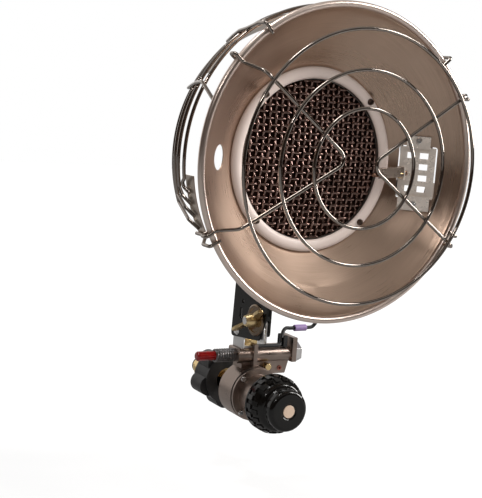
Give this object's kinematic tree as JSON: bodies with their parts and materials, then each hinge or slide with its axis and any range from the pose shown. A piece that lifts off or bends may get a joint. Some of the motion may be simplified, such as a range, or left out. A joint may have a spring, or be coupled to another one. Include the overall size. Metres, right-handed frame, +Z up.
{
  "type": "portable propane heater",
  "caption": "Tank-top propane heater: dish reflector with domed mesh burner and wire guards, tilting on a valve with push button, regulator knob and tank nut.",
  "frame": {"origin": "on the inlet axis, inside the straight wall of the nose that enters the tank valve", "axes": "+X right seen from the front, the dish faces -Y, +Z up, the inlet axis runs along +Y"},
  "size_m": [0.23, 0.2247, 0.333],
  "materials": {
    "rim_steel": "warm satin",
    "collar_steel": "satin",
    "zinc_screw": "bright zinc",
    "screen_wire": "heat-darkened",
    "heat_dark": "heat-darkened",
    "gasket": "fibre",
    "cup_steel": "satin",
    "tube_steel": "dark satin",
    "black_paint": "gloss black",
    "guard_chrome": "bright",
    "tan_steel": "satin",
    "tc_plate": "pale satin",
    "copper": "bright copper",
    "brass": "machined",
    "lead_black": "matte",
    "sleeve_violet": "soft",
    "zinc_plate": "zinc plated",
    "diecast": "cast satin",
    "barrel_dark": "dark machined",
    "button_red": "glossy",
    "spring_steel": "bright",
    "screw_brown": "sealed",
    "rubber": "matte",
    "knob_black": "gloss",
    "dot_beige": "matte",
    "nut_black": "matte"
  },
  "bodies": {
    "valve": {"base_bracket": "zinc_plate", "pivot_rivets": "zinc_screw", "jet_holder": "brass", "gas_jet": "brass", "valve_body": "diecast", "button_barrel": "barrel_dark", "button_spring": "spring_steel", "poppet_spring": "spring_steel", "magnet_unit": "zinc_plate", "magnet_nut": "zinc_plate", "test_plug": "brass", "set_screw": "screw_brown", "thermocouple_lead_lower": "lead_black", "lead_boot": "rubber", "regulator_bonnet": "diecast", "bonnet_screws": "zinc_screw", "diaphragm": "rubber", "diaphragm_plate": "spring_steel", "regulator_poppet": "brass", "regulator_spring": "spring_steel", "inlet_stem": "brass", "nose_seal": "rubber", "inlet_filter": "brass"},
    "burner": {"reflector": "rim_steel", "collar_ring": "collar_steel", "collar_screws": "zinc_screw", "emitter_screen": "screen_wire", "inner_screen": "heat_dark", "burner_gasket": "gasket", "burner_cup": "cup_steel", "venturi_tube": "tube_steel", "venturi_screws": "zinc_screw", "burner_bracket": "black_paint", "bracket_screws": "zinc_screw", "front_guard": "guard_chrome", "rear_guard": "guard_chrome", "hoop_bands": "tan_steel", "rear_deflector": "tan_steel", "thermocouple_bracket": "tc_plate", "thermocouple_rivets": "zinc_screw", "thermocouple_probe": "copper", "thermocouple_nut": "brass", "thermocouple_lead_upper": "lead_black", "lead_sleeve": "sleeve_violet", "wing_stud": "zinc_plate", "clamp_washer": "tan_steel"},
    "wing_nut": {"wing_nut": "brass"},
    "button": {"push_button": "button_red", "button_spindle": "spring_steel"},
    "poppet": {"safety_poppet": "spring_steel"},
    "seat": {"spring_seat": "spring_steel"},
    "knob": {"knob": "knob_black", "knob_cap": "knob_black", "knob_dot": "dot_beige", "adjusting_screw": "zinc_plate"},
    "hand_nut": {"hand_nut": "nut_black", "threaded_shank": "brass"}
  },
  "joints": [
    {"name": "burner_tilt", "type": "hinge", "parent": "valve", "child": "burner", "pos_m": [0, -0.078, 0.05], "axis": [-1, 0, 0], "range_deg": [-15, 25]},
    {"name": "wing_nut_turn", "type": "hinge", "parent": "burner", "child": "wing_nut", "pos_m": [-0.018, -0.10676, 0.06403], "axis": [-1, 0, 0], "continuous": true},
    {"name": "knob_turn", "type": "hinge", "parent": "valve", "child": "knob", "pos_m": [0, -0.11, 0], "axis": [0, 1, 0], "range_deg": [0, 270]},
    {"name": "seat_slide", "type": "slide", "parent": "valve", "child": "seat", "axis": [0, 1, 0], "range_m": [0, 0.001], "deforming": ["regulator_spring"]},
    {"name": "button_press", "type": "slide", "parent": "valve", "child": "button", "axis": [1, 0, 0], "range_m": [0, 0.005], "stiffness_N_per_m": 600, "springref_m": -0.002, "deforming": ["button_spring"]},
    {"name": "poppet_slide", "type": "slide", "parent": "valve", "child": "poppet", "axis": [1, 0, 0], "range_m": [0, 0.005], "deforming": ["poppet_spring"]},
    {"name": "hand_nut_spin", "type": "hinge", "parent": "valve", "child": "hand_nut", "pos_m": [0, -0.03, 0], "axis": [0, 1, 0], "continuous": true}
  ],
  "couplings": [
    {"joint": "seat_slide", "follows": "knob_turn", "m_per_rad": 0.000199},
    {"joint": "poppet_slide", "follows": "button_press", "ratio": 1}
  ]
}
